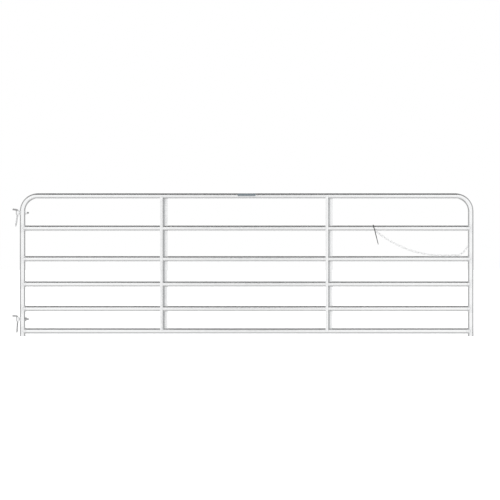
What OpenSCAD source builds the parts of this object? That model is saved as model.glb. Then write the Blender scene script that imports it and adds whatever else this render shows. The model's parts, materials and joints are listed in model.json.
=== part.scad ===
// Tubular steel field gate.
// A bent frame tube, five rails, two Z-section braces, pipe-barrel hinges that carry loose lag hooks,
// and a latch chain whose lag hook is parked over the second rail.
// +X runs from the hinge end to the latch end, +Z is up, and -Y is the front face.
// The origin is the middle of the lower hinge barrel, on the hinge axis.

/* [Leaf] */
// Width of the leaf over its two end tubes
leaf_w = 4191; // [3000:1:4800]
// Height of the leaf from its feet to the top of the top rail
leaf_h = 1320.8; // [1240:0.1:1500]
// Outer diameter of the frame tube and the rails
tube_d = 50.8; // [42:0.1:60]
// Wall of the frame tube and the rails
tube_wall = 1.6; // [1.2:0.1:4]
// Bend radius of the two top corners, to the middle of the tube
corner_r = 140; // [80:1:150]
// How far each rail end stays short of the middle of its end tube
cope_trim = 3; // [1:0.5:10]

/* [Rail heights above the feet] */
// Middle of the second rail
rail_2_h = 998; // [930:1:1050]
// Middle of the third rail
rail_3_h = 715; // [620:1:780]
// Middle of the fourth rail
rail_4_h = 482; // [400:1:560]
// Middle of the fifth rail
rail_5_h = 255; // [230:1:330]
// Middle of the bottom rail
bottom_rail_h = 49; // [30:1:80]

/* [Braces] */
// From the hinge end of the leaf to the front fold of the first brace
hinge_brace_x = 1320; // [900:1:1700]
// From the latch end of the leaf to the front fold of the second brace
latch_brace_x = 1344; // [1000:1:1700]
// Width of each flange, with its fold
flange_w = 25; // [15:0.5:40]
// How far the web slants towards the latch end, from its front fold to its back fold
web_slant = 21; // [0:0.5:30]
// Sheet thickness
brace_t = 3; // [2:0.1:5]
// Gap between the rails and each flange
flange_gap = 3.35; // [1:0.05:8]
// Gap round the rails where they pass through the web
rail_hole_gap = 0.5; // [0.2:0.1:2]

/* [Hinges] */
// From the lower end of the corner bend down to the middle of the upper barrel
upper_hinge_drop = 14.4; // [5:0.1:60]
// Height of the middle of the lower barrel above the feet
lower_hinge_h = 159; // [140:1:180]
// Length of each barrel
barrel_h = 38; // [30:0.5:70]
// Wall of each barrel
barrel_wall = 3.4; // [2:0.1:6]
// How much wider the barrel's bore is than the hook rod
hook_play = 10.7; // [4:0.1:14]
// Gap between each barrel and the end tube
barrel_gap = 2.8; // [1:0.1:10]
// Diameter of the bolt through the end tube
bolt_d = 15.9; // [12:0.1:18]
// Bolt length past the inner face of the end tube
bolt_stand = 33; // [22:0.5:50]
// Gap round the bolt in the end tube
bolt_gap = 0.4; // [0.2:0.1:1]
// Nut width across its flats
nut_flats = 23.8; // [22:0.1:30]
// Nut height
nut_h = 13.9; // [10:0.1:17]
// Washer diameter
washer_d = 33.3; // [28:0.1:40]
// Washer thickness
washer_t = 3; // [1.5:0.1:5]
// Gap between the bolt and the washer
washer_gap = 0.8; // [0.3:0.1:1.5]
// Gap between the bolt and the nut's thread
thread_gap = 0.1; // [0.05:0.01:0.3]

/* [Lag hooks] */
// Diameter of the hook rod
hook_d = 15.9; // [12:0.1:20]
// Lag length below the underside of the pin
lag_len = 152.4; // [100:0.1:160]
// Length of the pin, from the middle of the lag
pin_len = 50.8; // [40:0.1:70]
// Bend radius to the middle of the rod
hook_bend_r = 15; // [12:0.5:20]
// Diameter of the lag's thread
lag_thread_d = 15.2; // [11:0.1:15.8]
// Length of the lag's thread, without its point
lag_thread_len = 80; // [50:1:84]
// Length of the lag's point
lag_point = 16; // [8:0.5:25]
// Bevel on the end of the pin
pin_bevel = 1.5; // [0.5:0.1:3]
// Lean of the upper hook in its barrel, in degrees
upper_lean = 8; // [0:0.5:10]
// Lean of the lower hook in its barrel, in degrees
lower_lean = 3.5; // [0:0.5:10]
// Gap between the pin and the rim that it hangs on
hook_seat_gap = 0.3; // [0.1:0.1:0.6]

/* [Latch chain] */
// Wire diameter of the links
wire_d = 5; // [4:0.1:8]
// Inside length of a link
link_len = 32; // [26:0.1:40]
// Inside width of a link
link_w = 10; // [8.5:0.1:16]
// Least slack between two linked wires
link_slack = 0.8; // [0.5:0.1:1.5]
// Gap between the chain and the rail that it lies on
chain_rest_gap = 0.4; // [0.3:0.1:3]
// Length of chain that lies along the rail
chain_lie_len = 150; // [40:1:200]
// Level distance in which the chain rises from the rail to the staple
chain_end_run = 85; // [80:1:150]
// Rise of the chain from the rail to the staple, as a share of the room under the second rail
chain_end_share = 0.26; // [0.1:0.01:0.3]
// Level distance from the latch end tube to the last link
staple_reach = 18; // [14:0.5:30]
// Wire diameter of the staple
staple_d = 5; // [4:0.1:8]
// Inside width of the staple
staple_w = 12; // [9:0.1:18]

/* [Latch hook] */
// From the latch end of the leaf to the hook, along the second rail
hook_end_x = 919; // [700:1:1100]
// Diameter of the rod
latch_d = 8; // [6:0.1:10]
// Inside radius of the hook's bow
latch_bow_r = 35; // [33:0.5:45]
// Gap between the hook and the top of the rail
latch_seat_gap = 0.4; // [0.3:0.1:1]
// Straight length of the back leg
latch_back_len = 9; // [4:0.5:12]
// Length of the front leg below the middle of the rail
latch_lag_len = 158; // [100:1:180]
// Diameter of the lag's thread
latch_thread_d = 7.6; // [5.5:0.1:7.9]
// Length of the lag's thread, without its point
latch_thread_len = 60; // [30:1:70]
// Length of the lag's point
latch_point = 12; // [6:0.5:20]
// Lean of the hook along the rail, in degrees
latch_lean = 14; // [0:0.5:18]
// Inside radius of the eye ring
eye_r = 7; // [5.5:0.1:10]
// Wire diameter of the eye ring
eye_d = 5; // [4:0.1:6]
// Distance of the eye ring's weld below the middle of the rail
eye_drop = 22; // [16:1:35]
// Slope of the eye ring, in degrees below level
eye_slope = 34.5; // [25:0.5:45]
// Depth of the eye ring's weld in the rod
eye_weld = 0.6; // [0.3:0.1:1.5]

/* [Blank label] */
// Length of the label along the top rail
label_len = 166; // [60:1:260]
// Label thickness
label_t = 0.3; // [0.2:0.05:0.6]
// Glue between the label and the rail
label_gap = 0.1; // [0.05:0.05:0.3]
// Arc that the label covers, in degrees
label_arc = 64; // [30:1:110]
// Middle of the label above level, in degrees
label_tilt = 26; // [0:1:50]

/* [Hidden] */
$fn = 64;
overrun = 1;
// Places where two solids meet face to face are rounded to this step, so that the faces match
grid = 0.01;
function to_grid(v) = round(v / grid) * grid;

// Places on the leaf
tube_r = to_grid(tube_d / 2);
barrel_bore_r = to_grid((hook_d + hook_play) / 2);
barrel_r = barrel_bore_r + barrel_wall;
leaf_x0 = barrel_r + barrel_gap;
leaf_x1 = leaf_x0 + leaf_w;
hinge_tube_x = leaf_x0 + tube_r;
latch_tube_x = leaf_x1 - tube_r;
foot_z = -lower_hinge_h;
top_rail_z = foot_z + leaf_h - tube_r;
bottom_rail_z = foot_z + bottom_rail_h;
rail_2_z = foot_z + rail_2_h;
rail_3_z = foot_z + rail_3_h;
rail_4_z = foot_z + rail_4_h;
rail_5_z = foot_z + rail_5_h;
all_rail_z = [top_rail_z, rail_2_z, rail_3_z, rail_4_z, rail_5_z, bottom_rail_z];
upper_hinge_z = to_grid(top_rail_z - corner_r - upper_hinge_drop);
lower_hinge_z = 0;

// Depth of the brace between the inner faces of its flanges, on each side of the rails
flange_y = tube_r + flange_gap;

// The latch hook hangs on the second rail, and its plane leans along the rail
latch_x = leaf_x1 - hook_end_x;
latch_r = to_grid(latch_d / 2);
latch_axis_r = latch_bow_r + latch_r;
bow_drop = to_grid(latch_bow_r - latch_seat_gap - tube_r / cos(latch_lean));
latch_lean_down = [sin(latch_lean), 0, -cos(latch_lean)];

// Links lie at half a right angle to the chain's own plane, each a right angle from the next
link_half_w = to_grid((link_w + wire_d) / 2);
first_twist = 45;
twist_step = 90;

// The eye ring's weld on the front leg, and the ring's middle along its slope
eye_weld_point = [latch_x, -latch_axis_r, rail_2_z] + latch_lean_down * eye_drop;
eye_dir = [cos(eye_slope), 0, -sin(eye_slope)];
eye_axis_r = eye_r + eye_d / 2;
eye_offset = latch_r / cos(eye_slope - latch_lean) + eye_axis_r + eye_d / 2 - eye_weld;
eye_middle = eye_weld_point + eye_dir * eye_offset;

// In an upright plane, the chain hangs as a catenary from the eye ring to the rail, lies along the rail,
// and rises as a slacker catenary to the staple
chain_start = eye_middle + eye_dir * (eye_r - link_slack / 2);
chain_low_z = rail_3_z + tube_r + link_half_w * sin(first_twist) + wire_d / 2 + chain_rest_gap;
chain_end_rise = to_grid(chain_end_share * (rail_2_z - rail_3_z - 2 * tube_r));
chain_end = [latch_tube_x - tube_r - staple_reach, 0, chain_low_z + chain_end_rise];
chain_yaw = atan2(chain_end[1] - chain_start[1], chain_end[0] - chain_start[0]);
chain_span = norm([chain_end[0] - chain_start[0], chain_end[1] - chain_start[1]]);
start_rise = chain_start[2] - chain_low_z;

function acosh(x) = ln(x + sqrt(x * x - 1));
function asinh(x) = ln(x + sqrt(x * x + 1));
// Level distance in which a catenary of scale a climbs from its lowest point
function catenary_run(a, rise) = a * acosh(1 + rise / a);
// The scale of the catenary that climbs a rise in a run, found by halving the interval
function fit_catenary(run, rise, low, high, steps) =
    let (middle = (low + high) / 2)
    steps == 0 ? middle
    : catenary_run(middle, rise) < run ? fit_catenary(run, rise, middle, high, steps - 1)
    : fit_catenary(run, rise, low, middle, steps - 1);
function catenary(run, rise) = fit_catenary(run, rise, wire_d, run * run / rise, halving_steps);
function half_length(a, rise) = sqrt((a + rise) * (a + rise) - a * a);

halving_steps = 50;
start_run = chain_span - chain_lie_len - chain_end_run;
start_a = catenary(start_run, start_rise);
end_a = catenary(chain_end_run, chain_end_rise);
start_len = half_length(start_a, start_rise);
chain_len = start_len + chain_lie_len + half_length(end_a, chain_end_rise);
link_count = ceil(chain_len / (link_len - link_slack));
link_step = chain_len / link_count;
chain_gap = link_len - link_step;

// How much of a length along the chain, from the eye ring, lies on the rail, how far it is off the rail,
// and the scale of the catenary there
function lying(s) = min(max(s - start_len, 0), chain_lie_len);
function hanging(s) = s - start_len - lying(s);
function scale_at(s) = s < start_len ? start_a : end_a;
// Level distance, height and slope of the chain at a length along it from the eye ring
function chain_level(s) = start_run + lying(s) + scale_at(s) * asinh(hanging(s) / scale_at(s));
function chain_height(s) = chain_low_z + sqrt(pow(scale_at(s), 2) + pow(hanging(s), 2)) - scale_at(s);
function chain_slope(s) = atan2(-hanging(s), scale_at(s));

echo(chain_length = chain_len, links = link_count, slack = chain_gap);

steel = "gainsboro";
zinc = "silver";
plain_steel = "dimgray";
film = "slategray";

// A round bar along +X from a point
module bar_x(r, from, length) {
    translate(from) rotate([0, 90, 0]) cylinder(r = r, h = length);
}

// The frame's run: up one end tube, round the corners and down the other
module frame_run(r, foot) {
    end_len = top_rail_z - corner_r - foot_z + foot;
    top_len = latch_tube_x - hinge_tube_x - 2 * corner_r;
    for (x = [hinge_tube_x, latch_tube_x])
        translate([x, 0, foot_z - foot]) cylinder(r = r, h = end_len);
    bar_x(r, [hinge_tube_x + corner_r, 0, top_rail_z], top_len);
    for (side = [[hinge_tube_x + corner_r, 90], [latch_tube_x - corner_r, 0]])
        translate([side[0], 0, top_rail_z - corner_r])
            rotate([90, 0, 0])
                rotate([0, 0, side[1]])
                    rotate_extrude(angle = 90) translate([corner_r, 0]) circle(r = r);
}

module frame_tube() {
    hole_len = tube_d + 2 * overrun;
    color(steel) difference() {
        frame_run(tube_r, 0);
        frame_run(tube_r - tube_wall, overrun);
        for (z = [upper_hinge_z, lower_hinge_z])
            bar_x(bolt_d / 2 + bolt_gap, [leaf_x0 - overrun, 0, z], hole_len);
    }
}

// A rail between the end tubes, with its ends shaped to them
module rail(z) {
    from_x = hinge_tube_x + cope_trim;
    length = latch_tube_x - hinge_tube_x - 2 * cope_trim;
    color(steel) difference() {
        bar_x(tube_r, [from_x, 0, z], length);
        bar_x(tube_r - tube_wall, [from_x - overrun, 0, z], length + 2 * overrun);
        for (x = [hinge_tube_x, latch_tube_x])
            translate([x, 0, z]) cylinder(r = tube_r, h = tube_d + 2 * overrun, center = true);
    }
}

// A brace of Z section: its front flange points to the hinge end and its back flange to the latch end,
// and its web slants between them
module brace(fold_x) {
    outer_y = flange_y + brace_t;
    middle_y = flange_y + brace_t / 2;
    web_half = brace_t / 2 / cos(atan2(web_slant, 2 * middle_y));
    tip = flange_w - brace_t / 2;
    function web_at(y) = web_slant * (y + middle_y) / (2 * middle_y);
    color(steel) difference() {
        translate([fold_x, 0, bottom_rail_z])
            linear_extrude(top_rail_z - bottom_rail_z)
                polygon([[-tip, -outer_y], [web_at(-outer_y) + web_half, -outer_y],
                    [web_at(flange_y) + web_half, flange_y], [web_slant + tip, flange_y],
                    [web_slant + tip, outer_y], [web_at(outer_y) - web_half, outer_y],
                    [web_at(-flange_y) - web_half, -flange_y], [-tip, -flange_y]]);
        for (z = all_rail_z)
            bar_x(tube_r + rail_hole_gap, [fold_x - tip, 0, z], web_slant + 2 * tip);
    }
}

module hinge_barrel(z) {
    color(zinc) translate([0, 0, z]) difference() {
        cylinder(r = barrel_r, h = barrel_h, center = true);
        cylinder(r = barrel_bore_r, h = barrel_h + 2 * overrun, center = true);
    }
}

// The bolt starts on the barrel's wall and ends past the inner face of the end tube
module hinge_bolt(z) {
    color(zinc) difference() {
        bar_x(bolt_d / 2, [0, 0, z], leaf_x0 + tube_d + bolt_stand);
        translate([0, 0, z]) cylinder(r = barrel_r, h = barrel_h, center = true);
    }
}

module hinge_washer(z) {
    from_x = leaf_x0 + tube_d;
    color(zinc) difference() {
        bar_x(washer_d / 2, [from_x, 0, z], washer_t);
        bar_x(bolt_d / 2 + washer_gap, [from_x - overrun, 0, z], washer_t + 2 * overrun);
    }
}

module hinge_nut(z) {
    from_x = leaf_x0 + tube_d + washer_t;
    corner = nut_flats / 2 / cos(30);
    color(zinc) difference() {
        translate([from_x, 0, z]) rotate([0, 90, 0]) cylinder(r = corner, h = nut_h, $fn = 6);
        bar_x(bolt_d / 2 + thread_gap, [from_x - overrun, 0, z], nut_h + 2 * overrun);
    }
}

// A lag hook hangs in a barrel with its pin on the rim and its lag down through the bore
module lag_hook(z, lean) {
    hook_r = to_grid(hook_d / 2);
    pin_z = to_grid(barrel_h / 2 * cos(lean) - barrel_bore_r * sin(lean) + hook_seat_gap + hook_r);
    point_z = pin_z - hook_r - lag_len;
    thread_z = point_z + lag_point;
    shank_z = thread_z + lag_thread_len;
    color(zinc) translate([0, 0, z]) rotate([0, lean, 0]) {
        translate([0, 0, shank_z]) cylinder(r = hook_r, h = pin_z - hook_bend_r - shank_z);
        translate([0, 0, thread_z]) cylinder(r = lag_thread_d / 2, h = lag_thread_len);
        translate([0, 0, point_z]) cylinder(r1 = 0, r2 = lag_thread_d / 2, h = lag_point);
        translate([-hook_bend_r, 0, pin_z - hook_bend_r])
            rotate([90, 0, 0]) rotate_extrude(angle = 90) translate([hook_bend_r, 0]) circle(r = hook_r);
        bar_x(hook_r, [pin_bevel - pin_len, 0, pin_z], pin_len - hook_bend_r - pin_bevel);
        translate([-pin_len, 0, pin_z]) rotate([0, 90, 0])
            cylinder(r1 = hook_r - pin_bevel, r2 = hook_r, h = pin_bevel);
    }
}

// Half of a round ring, open towards +X
module bow(axis_r, r) {
    rotate([0, 0, 90]) rotate_extrude(angle = 180) translate([axis_r, 0]) circle(r = r);
}

module chain_link() {
    straight = 2 * to_grid((link_len - link_w) / 2);
    for (side = [0, 180]) rotate([0, 0, side]) {
        translate([-straight / 2, 0, 0]) bow(link_half_w, wire_d / 2);
        bar_x(wire_d / 2, [-straight / 2, link_half_w, 0], straight);
    }
}

// Turns a piece that lies along +X to the chain's direction at a length along it
module on_chain(s, twist) {
    translate([chain_start[0], chain_start[1], 0])
        rotate([0, 0, chain_yaw])
            translate([chain_level(s), 0, chain_height(s)])
                rotate([0, chain_slope(s), 0]) rotate([twist, 0, 0]) children();
}

module chain_links() {
    color(zinc) for (i = [0 : link_count - 1])
        on_chain((i + 0.5) * link_step, first_twist + i * twist_step) chain_link();
}

// A bow of wire welded to the inner side of the latch end tube, with the last link round it
module chain_staple() {
    staple_axis_r = to_grid((staple_w + staple_d) / 2);
    bow_x = staple_axis_r - staple_d / 2 - chain_gap / 2;
    leg_len = (staple_reach + tube_r) / cos(chain_slope(chain_len)) - bow_x;
    color(zinc) difference() {
        on_chain(chain_len, first_twist + link_count * twist_step) translate([bow_x, 0, 0]) {
            bow(staple_axis_r, staple_d / 2);
            for (side = [-staple_axis_r, staple_axis_r]) bar_x(staple_d / 2, [0, side, 0], leg_len);
        }
        translate([latch_tube_x, 0, chain_end[2]])
            cylinder(r = tube_r, h = 2 * (tube_d + leg_len), center = true);
    }
}

// A lag screw bent over the rail, with a ring welded to its front leg for the chain
module latch_hook() {
    thread_z = latch_point - latch_lag_len;
    shank_z = thread_z + latch_thread_len;
    bow_z = -bow_drop;
    color(plain_steel) {
        translate([latch_x, 0, rail_2_z]) rotate([0, -latch_lean, 0]) {
            translate([0, 0, bow_z]) rotate([0, 0, 90]) rotate([90, 0, 0])
                rotate_extrude(angle = 180) translate([latch_axis_r, 0]) circle(r = latch_r);
            translate([0, latch_axis_r, bow_z - latch_back_len]) cylinder(r = latch_r, h = latch_back_len);
            translate([0, -latch_axis_r, shank_z]) cylinder(r = latch_r, h = bow_z - shank_z);
            translate([0, -latch_axis_r, thread_z]) cylinder(r = latch_thread_d / 2, h = latch_thread_len);
            translate([0, -latch_axis_r, -latch_lag_len])
                cylinder(r1 = 0, r2 = latch_thread_d / 2, h = latch_point);
        }
        translate(eye_middle) rotate([0, eye_slope, 0]) rotate([first_twist - twist_step, 0, 0])
            rotate_extrude() translate([eye_axis_r, 0]) circle(r = eye_d / 2);
    }
}

// A plain film label round the front of the top rail
module blank_label() {
    color(film) translate([(leaf_x0 + leaf_x1 - label_len) / 2, 0, top_rail_z])
        rotate([label_tilt - label_arc / 2, 0, 0])
            rotate([0, 90, 0]) rotate([0, 0, -90])
                rotate_extrude(angle = -label_arc)
                    translate([tube_r + label_gap, 0]) square([label_t, label_len]);
}

frame_tube();
rail(rail_2_z);  // rail_2
rail(rail_3_z);  // rail_3
rail(rail_4_z);  // rail_4
rail(rail_5_z);  // rail_5
rail(bottom_rail_z);  // bottom_rail
brace(leaf_x0 + hinge_brace_x);  // hinge_side_brace
brace(leaf_x1 - latch_brace_x);  // latch_side_brace
hinge_barrel(upper_hinge_z);  // upper_hinge_barrel
hinge_bolt(upper_hinge_z);  // upper_hinge_bolt
hinge_washer(upper_hinge_z);  // upper_hinge_washer
hinge_nut(upper_hinge_z);  // upper_hinge_nut
lag_hook(upper_hinge_z, upper_lean);  // upper_lag_hook
hinge_barrel(lower_hinge_z);  // lower_hinge_barrel
hinge_bolt(lower_hinge_z);  // lower_hinge_bolt
hinge_washer(lower_hinge_z);  // lower_hinge_washer
hinge_nut(lower_hinge_z);  // lower_hinge_nut
lag_hook(lower_hinge_z, lower_lean);  // lower_lag_hook
chain_staple();
chain_links();
latch_hook();
blank_label();
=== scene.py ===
"""Tubular field gate: finishes, welds, threads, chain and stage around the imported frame."""

import json
import math

import bmesh
import bpy
from mathutils import Matrix, Vector


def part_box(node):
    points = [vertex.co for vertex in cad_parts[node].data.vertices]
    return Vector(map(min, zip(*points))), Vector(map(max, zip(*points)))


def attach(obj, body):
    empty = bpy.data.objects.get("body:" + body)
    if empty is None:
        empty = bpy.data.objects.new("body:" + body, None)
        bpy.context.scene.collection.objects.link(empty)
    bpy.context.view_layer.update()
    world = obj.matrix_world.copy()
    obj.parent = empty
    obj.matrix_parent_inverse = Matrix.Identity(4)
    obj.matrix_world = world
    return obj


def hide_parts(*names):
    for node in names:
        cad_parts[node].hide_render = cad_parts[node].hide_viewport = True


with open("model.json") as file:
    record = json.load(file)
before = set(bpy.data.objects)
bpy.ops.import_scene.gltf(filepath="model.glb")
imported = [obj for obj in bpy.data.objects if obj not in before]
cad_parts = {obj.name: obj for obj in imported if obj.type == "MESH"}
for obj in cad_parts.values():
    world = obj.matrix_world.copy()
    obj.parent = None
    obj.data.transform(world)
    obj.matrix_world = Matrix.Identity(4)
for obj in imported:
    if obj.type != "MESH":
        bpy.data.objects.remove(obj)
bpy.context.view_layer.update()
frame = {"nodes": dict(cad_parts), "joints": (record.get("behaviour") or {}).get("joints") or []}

bl_info = {
    "name": "Field gate",
    "version": (1, 0, 0),
    "blender": (4, 5, 0),
    "location": "3D View > Sidebar > Gate",
    "description": "Dresses the packed field gate with finishes, welds, threads, chain and stage",
    "category": "Object",
}

MM = 0.001
TURN = 2 * math.pi
QUARTER = math.pi / 2
ALONG, BACK, UP = Vector((1, 0, 0)), Vector((0, 1, 0)), Vector((0, 0, 1))

RAILS = ("rail_2", "rail_3", "rail_4", "rail_5", "bottom_rail")
BRACES = ("hinge_side_brace", "latch_side_brace")
HINGES = ("upper", "lower")


def middle(node):
    """Middle of a node's box."""
    low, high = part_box(node)
    return (low + high) / 2


def reach(node):
    """Size of a node's box."""
    low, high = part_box(node)
    return high - low


# Places on the leaf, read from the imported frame
LEAF_LOW, LEAF_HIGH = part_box("frame_tube")
TUBE_R = reach("rail_3").z / 2
END_TUBES = (LEAF_LOW.x + TUBE_R, LEAF_HIGH.x - TUBE_R)
TOP_Z = LEAF_HIGH.z - TUBE_R
RAIL_Z = [TOP_Z] + [middle(name).z for name in RAILS]
FLOOR_Z = LEAF_LOW.z
CHAIN_PIVOT = Vector(next(j for j in frame["joints"] if j["name"] == "chain_lift")["pos_m"])


# Settings


def size(name, text, value):
    """A length that a user may change."""
    return bpy.props.FloatProperty(
        name=name, description=text, default=value, min=0, precision=5, unit="LENGTH"
    )


def turn(name, text, degrees):
    """An angle that a user may change."""
    return bpy.props.FloatProperty(
        name=name, description=text, default=math.radians(degrees), subtype="ANGLE"
    )


def share(name, text, value):
    """A plain number that a user may change."""
    return bpy.props.FloatProperty(name=name, description=text, default=value, min=0)


def colour(name, text, value):
    """A colour that a user may change."""
    return bpy.props.FloatVectorProperty(
        name=name, description=text, default=value, size=3, min=0, max=1, subtype="COLOR"
    )


class GateLeafSettings(bpy.types.PropertyGroup):
    """Sizes of the tube seam, the braces and the label."""

    seam_w: size("Seam width", "Width of the stripe along the tube seam", 7 * MM)
    sheet_t: size("Sheet thickness", "Thickness of the brace sheet", 3 * MM)
    fold_r: size("Fold radius", "Radius of the brace folds at mid sheet", 3.6 * MM)
    web_slant: size("Web slant", "How far the brace webs slant along the gate", 21 * MM)
    hole_gap: size("Hole gap", "Gap round the rails in the braces", 0.5 * MM)
    film_t: size("Film thickness", "Thickness of the label film", 0.3 * MM)
    film_gap: size("Glue thickness", "Gap between the film and the rail", 0.1 * MM)
    film_corner: size("Film corner", "Corner radius of the label film", 6 * MM)
    film_border: size("Film border", "Width of the label film's border", 3 * MM)
    film_arc: turn("Film arc", "Arc that the film covers", 64)
    film_tilt: turn("Film tilt", "Middle of the film above level", 26)


class GateHingeSettings(bpy.types.PropertyGroup):
    """Sizes of the hinge hardware and the lag hooks."""

    bore_r: size("Barrel bore", "Radius of the barrel bore", 13.3 * MM)
    rim: size("Barrel rim", "Rounding of the barrel rims", 0.9 * MM)
    washer_bore_r: size("Washer bore", "Radius of the washer hole", 8.75 * MM)
    washer_edge: size("Washer edge", "Rounding of the washer's edges", 0.5 * MM)
    nut_bore_r: size("Nut bore", "Radius of the nut's bore", 8.05 * MM)
    nut_bevel: size("Nut bevel", "Bevel of the nut's bore", 0.9 * MM)
    nut_face: share("Nut face", "Flat face of the nut, as a share of its flats", 0.96)
    nut_fall: turn("Nut fall", "Slope of the nut's bevelled corners", 30)
    bolt_pitch: size("Bolt pitch", "Pitch of the bolt thread", 2.31 * MM)
    bolt_depth: size("Bolt thread depth", "Depth of the bolt thread", 1.0 * MM)
    bolt_thread_len: size("Bolt thread", "Length of the bolt thread", 30 * MM)
    bolt_crest: size("Bolt crest", "Bolt thread's crest under the shank", 0.05 * MM)
    bolt_end: size("Bolt end", "Length of the bolt's bevelled end", 1.6 * MM)
    bolt_tip: share("Bolt tip", "Radius of the bolt's end, as a share", 0.82)
    hook_r: size("Hook rod radius", "Radius of the lag hook rod", 7.95 * MM)
    hook_bend_r: size("Hook bend", "Bend radius of the lag hooks", 15 * MM)
    pin_len: size("Pin length", "Length of the hook pin from the lag's middle", 50.8 * MM)
    pin_bevel: size("Pin bevel", "Bevel on the end of the pin", 1.5 * MM)
    upper_pin_z: size("Upper pin height", "Upper pin above its barrel's middle", 25.21 * MM)
    lower_pin_z: size("Lower pin height", "Lower pin above its barrel's middle", 26.4 * MM)
    upper_lean: turn("Upper lean", "Lean of the upper hook", 8)
    lower_lean: turn("Lower lean", "Lean of the lower hook", 3.5)
    lag_len: size("Lag length", "Lag below the underside of the pin", 152.4 * MM)
    lag_r: size("Lag thread radius", "Radius over the lag thread", 7.6 * MM)
    lag_thread_len: size("Lag thread", "Length of the thread without its point", 80 * MM)
    lag_point: size("Lag point", "Length of the lag's point", 16 * MM)
    lag_tip: share("Lag tip", "Radius of the point's end, as a share", 0.05)
    lag_pitch: size("Lag pitch", "Pitch of the lag thread", 4.6 * MM)
    lag_depth: size("Lag thread depth", "Depth of the lag thread", 1.5 * MM)


class GateChainSettings(bpy.types.PropertyGroup):
    """Sizes of the latch chain, its staple and its hook."""

    wire_r: size("Wire radius", "Radius of the link wire", 2.5 * MM)
    link_len: size("Link length", "Inside length of a link", 32 * MM)
    link_w: size("Link width", "Inside width of a link", 10 * MM)
    links: bpy.props.IntProperty(
        name="Links", description="Number of links in the chain", default=29, min=1
    )
    first_twist: turn("First twist", "Twist of the first link", 45)
    link_twist: turn("Link twist", "Twist from each link to the next", 90)
    weld_swell: share("Weld swell", "Swelling of the wire at a link's weld", 0.16)
    lie_len: size("Length on the rail", "Length of chain that lies along the rail", 150 * MM)
    end_run: size("End run", "Level run from the rail to the staple", 85 * MM)
    end_rise: size("End rise", "Rise from the rail to the staple", 60.37 * MM)
    staple_w: size("Staple width", "Inside width of the staple", 12 * MM)
    staple_in: size("Staple depth", "Staple's ends inside the end tube's surface", 6.2 * MM)
    hook_x: size("Hook place", "Place of the latch hook along the rail", 3291.5 * MM)
    rod_r: size("Rod radius", "Radius of the latch hook rod", 4 * MM)
    rod_bevel: size("Rod bevel", "Bevel on the end of the back leg", 0.6 * MM)
    bow_r: size("Bow radius", "Radius of the hook's bow at mid rod", 39 * MM)
    bow_drop: size("Bow drop", "Bow's middle below the rail's middle", 8.42 * MM)
    back_len: size("Back leg", "Straight length of the back leg", 9 * MM)
    front_len: size("Front leg", "Front leg below the rail's middle", 158 * MM)
    hook_lean: turn("Hook lean", "Lean of the hook along the rail", 14)
    thread_r: size("Thread radius", "Radius over the latch thread", 3.8 * MM)
    thread_len: size("Thread length", "Latch thread without its point", 60 * MM)
    thread_pitch: size("Thread pitch", "Pitch of the latch thread", 3.2 * MM)
    thread_depth: size("Thread depth", "Depth of the latch thread", 0.9 * MM)
    point_len: size("Point length", "Length of the latch hook's point", 12 * MM)
    point_tip: share("Point tip", "Radius of the point's end, as a share", 0.06)
    eye_r: size("Eye radius", "Inside radius of the eye ring", 7 * MM)
    eye_wire_r: size("Eye wire", "Wire radius of the eye ring", 2.5 * MM)
    eye_drop: size("Eye drop", "Eye weld below the rail's middle", 22 * MM)
    eye_slope: turn("Eye slope", "Slope of the eye ring below level", 34.5)
    eye_weld: size("Eye weld", "Depth of the eye's weld in the rod", 0.6 * MM)
    slack: size("Slack", "Least slack between two linked wires", 0.8 * MM)


class GateWeldSettings(bpy.types.PropertyGroup):
    """Sizes of the weld beads."""

    rail_bead: size("Rail bead", "Bead radius where the rails meet the end tubes", 2.3 * MM)
    tack_bead: size("Tack bead", "Bead radius where the rails cross the braces", 2.4 * MM)
    small_bead: size("Small bead", "Bead radius on hinges, staple and eye", 1.7 * MM)
    tack_off: size("Tack offset", "Tack's middle off the rail", 0.4 * MM)
    barrel_off: size("Barrel offset", "Hinge weld's middle off the barrel", 0.2 * MM)
    foot_off: size("Staple offset", "Staple weld's middle off the wire", 0.6 * MM)
    eye_off: size("Eye offset", "Eye weld's middle off the rod", 0.4 * MM)
    eye_half: size("Eye weld length", "Half the length of an eye weld", 3 * MM)
    eye_apart: size("Eye weld place", "Each eye weld above or below the eye", 2 * MM)
    ripple: size("Ripple", "Distance between two ripples", 2.6 * MM)
    ripple_depth: share("Ripple depth", "Depth of the ripples, as a share of the bead", 0.16)
    uneven: share("Unevenness", "Change of the bead's width, as a share", 0.35)
    seed: bpy.props.IntProperty(name="Seed", description="Seed of the unevenness", default=7)


class GateFinishSettings(bpy.types.PropertyGroup):
    """Colours of the finishes."""

    zinc_bright: colour("Bright zinc", "Bright side of the zinc coat", (0.972, 0.975, 0.977))
    zinc_dull: colour("Dull zinc", "Dull side of the zinc coat", (0.90, 0.906, 0.91))
    # Painted shade: the grey that the brace webs take between their folds
    zinc_grey: colour("Grey zinc", "Dull zinc between a brace's folds", (0.60, 0.61, 0.615))
    touch_up: colour("Touch-up zinc", "Zinc paint over the welds", (0.87, 0.875, 0.88))
    plating: colour("Plating", "Plating of the hinges and upper hook", (0.88, 0.885, 0.89))
    plating_dull: colour("Dull plating", "Dull plating of the hooks", (0.70, 0.705, 0.71))
    # Also paints the upper bolt's end past its nut darker, as painted shade
    worn: colour("Worn plating", "Plating worn thin over the steel", (0.42, 0.42, 0.425))
    steel: colour("Plain steel", "Plain steel of the latch hook", (0.17, 0.17, 0.173))
    steel_dull: colour("Dull steel", "Mill scale on the plain steel", (0.06, 0.059, 0.058))
    film: colour("Film", "Blank label film", (0.16, 0.19, 0.21))
    film_edge: colour("Film edge", "Border of the label film", (0.30, 0.33, 0.35))


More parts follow.
